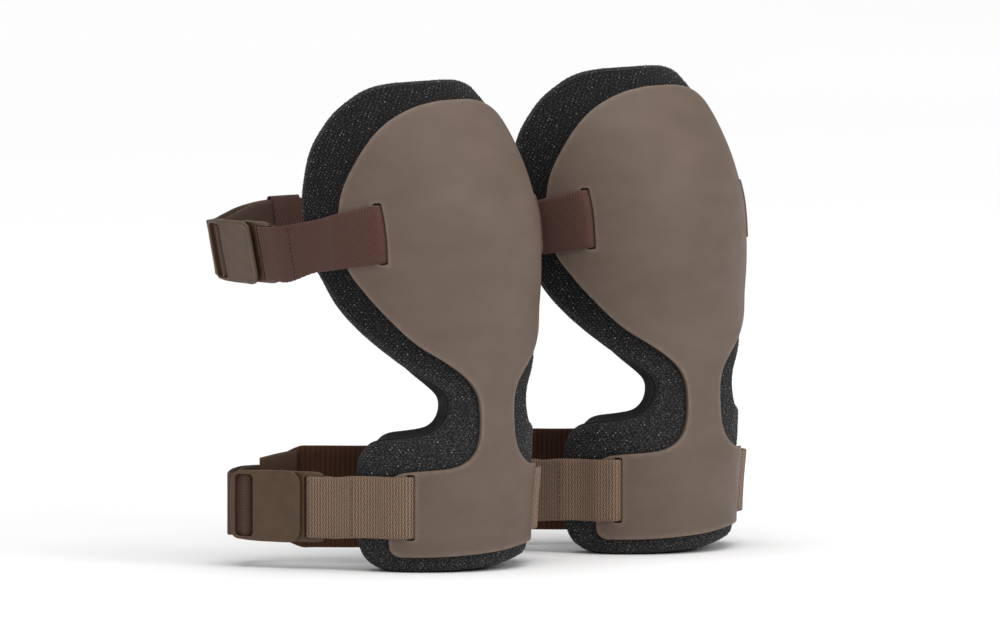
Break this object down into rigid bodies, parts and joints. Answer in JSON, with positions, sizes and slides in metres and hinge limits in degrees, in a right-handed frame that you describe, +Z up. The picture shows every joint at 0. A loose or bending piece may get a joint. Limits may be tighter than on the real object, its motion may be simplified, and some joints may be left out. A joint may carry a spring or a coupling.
{
  "type": "knee pads",
  "caption": "Pair of hourglass knee pads: moulded rubber shell on thick foam, with strap loops closed by clip buckles above and below the knee.",
  "frame": {"origin": "under the middle of the pair's outer box, on the surface that the foot bands stand on", "axes": "+Z up along the shin; the shells face -Y; +X runs from the left pad to the right pad, as seen from the front"},
  "size_m": [0.3722, 0.2086, 0.3072],
  "materials": {
    "shell_rubber": "matte",
    "mesh_fabric": "matte",
    "foam": "matte",
    "liner_fabric": "matte",
    "twill_elastic": "matte",
    "ribbed_elastic": "matte",
    "calf_elastic": "matte",
    "webbing": "matte",
    "buckle_plastic": "satin"
  },
  "bodies": {
    "left_pad": {"left_outer_shell": "shell_rubber", "left_mesh_cover": "mesh_fabric", "left_foam_core": "foam", "left_inner_liner": "liner_fabric", "left_upper_near_strap": "twill_elastic", "left_upper_receiver": "buckle_plastic", "left_upper_clip_webbing": "webbing", "left_upper_far_band": "twill_elastic", "left_upper_sleeve": "twill_elastic", "left_lower_near_strap": "ribbed_elastic", "left_lower_receiver": "buckle_plastic", "left_lower_clip_webbing": "webbing", "left_lower_far_strap": "ribbed_elastic", "left_lower_calf_band": "calf_elastic", "left_lower_sleeve": "calf_elastic"},
    "left_upper_clip": {"left_upper_clip": "buckle_plastic"},
    "left_lower_clip": {"left_lower_clip": "buckle_plastic"},
    "right_pad": {"right_outer_shell": "shell_rubber", "right_mesh_cover": "mesh_fabric", "right_foam_core": "foam", "right_inner_liner": "liner_fabric", "right_upper_near_strap": "twill_elastic", "right_upper_receiver": "buckle_plastic", "right_upper_clip_webbing": "webbing", "right_upper_far_band": "twill_elastic", "right_upper_sleeve": "twill_elastic", "right_lower_near_strap": "ribbed_elastic", "right_lower_receiver": "buckle_plastic", "right_lower_clip_webbing": "webbing", "right_lower_far_strap": "ribbed_elastic", "right_lower_calf_band": "calf_elastic", "right_lower_sleeve": "calf_elastic"},
    "right_upper_clip": {"right_upper_clip": "buckle_plastic"},
    "right_lower_clip": {"right_lower_clip": "buckle_plastic"}
  },
  "joints": [
    {"name": "right_pad_slide", "type": "slide", "parent": "left_pad", "child": "right_pad", "axis": [1, 0, 0], "range_m": [0, 0.1]},
    {"name": "left_upper_clip_hinge", "type": "hinge", "parent": "left_pad", "child": "left_upper_clip", "pos_m": [-0.16258, 0.03913, 0.19705], "axis": [-0.206, 0.0287, 0.9781], "range_deg": [-25, 12], "deforming": ["left_upper_clip_webbing"]},
    {"name": "left_lower_clip_hinge", "type": "hinge", "parent": "left_pad", "child": "left_lower_clip", "pos_m": [-0.16597, 0.00238, 0.0392], "axis": [0, 0, 1], "range_deg": [-25, 12], "deforming": ["left_lower_clip_webbing"]},
    {"name": "right_upper_clip_hinge", "type": "hinge", "parent": "right_pad", "child": "right_upper_clip", "pos_m": [0.01912, 0.04343, 0.19705], "axis": [-0.206, 0.0287, 0.9781], "range_deg": [-25, 12], "deforming": ["right_upper_clip_webbing"]},
    {"name": "right_lower_clip_hinge", "type": "hinge", "parent": "right_pad", "child": "right_lower_clip", "pos_m": [0.01573, 0.00668, 0.0392], "axis": [0, 0, 1], "range_deg": [-25, 12], "deforming": ["right_lower_clip_webbing"]}
  ]
}
